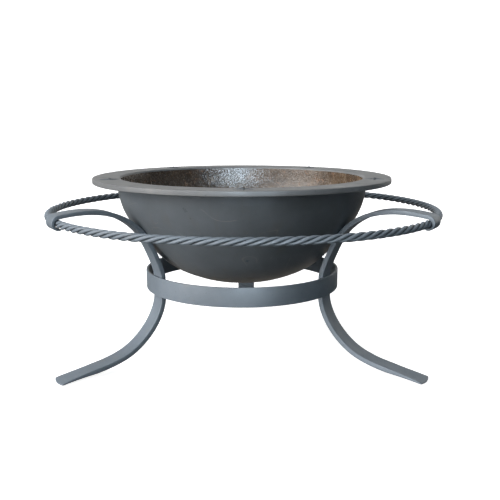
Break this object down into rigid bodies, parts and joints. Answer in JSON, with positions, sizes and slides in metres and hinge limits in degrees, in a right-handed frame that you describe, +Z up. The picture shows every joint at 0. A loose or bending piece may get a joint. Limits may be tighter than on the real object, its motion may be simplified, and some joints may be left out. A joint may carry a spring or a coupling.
{
  "type": "fire pit",
  "caption": "Cast-iron fire bowl with a flat starred rim, seated in a forged tripod stand with a twisted outer ring; a loose bar grate lies in the bowl.",
  "frame": {"origin": "on the bowl's axis, at the floor", "axes": "+Z up, -Y to the front, where the picture was taken from, +X to its right"},
  "size_m": [0.8462, 0.8534, 0.3954],
  "materials": {
    "cast_iron": "satin outside, oiled and rust-flecked inside",
    "painted_steel": "satin blue-grey",
    "weld": "satin, painted over",
    "grate_steel": "matt, sooty"
  },
  "bodies": {
    "stand": {"band": "painted_steel", "leg_front_left": "painted_steel", "leg_front_right": "painted_steel", "leg_rear": "painted_steel", "ring_rod_1": "painted_steel", "ring_rod_2": "painted_steel", "ring_rod_3": "painted_steel", "ring_rod_4": "painted_steel", "weld_front_left_a": "weld", "weld_front_left_b": "weld", "weld_front_right_a": "weld", "weld_front_right_b": "weld", "weld_rear_a": "weld", "weld_rear_b": "weld"},
    "bowl": {"bowl": "cast_iron"},
    "grate": {"grate_bar_1": "grate_steel", "grate_bar_2": "grate_steel", "grate_bar_3": "grate_steel", "grate_bar_4": "grate_steel", "grate_bar_5": "grate_steel", "grate_bar_6": "grate_steel", "grate_bar_7": "grate_steel", "grate_bar_8": "grate_steel", "grate_bar_9": "grate_steel", "grate_hoop": "grate_steel", "grate_bearer_front": "grate_steel", "grate_bearer_rear": "grate_steel", "grate_loop_front": "grate_steel", "grate_loop_rear": "grate_steel"}
  },
  "joints": [
    {"name": "bowl_lift_off", "type": "slide", "parent": "stand", "child": "bowl", "axis": [0, 0, 1], "range_m": [0, 0.25]},
    {"name": "grate_lift_out", "type": "slide", "parent": "bowl", "child": "grate", "axis": [0, 0, 1], "range_m": [0, 0.2]}
  ]
}
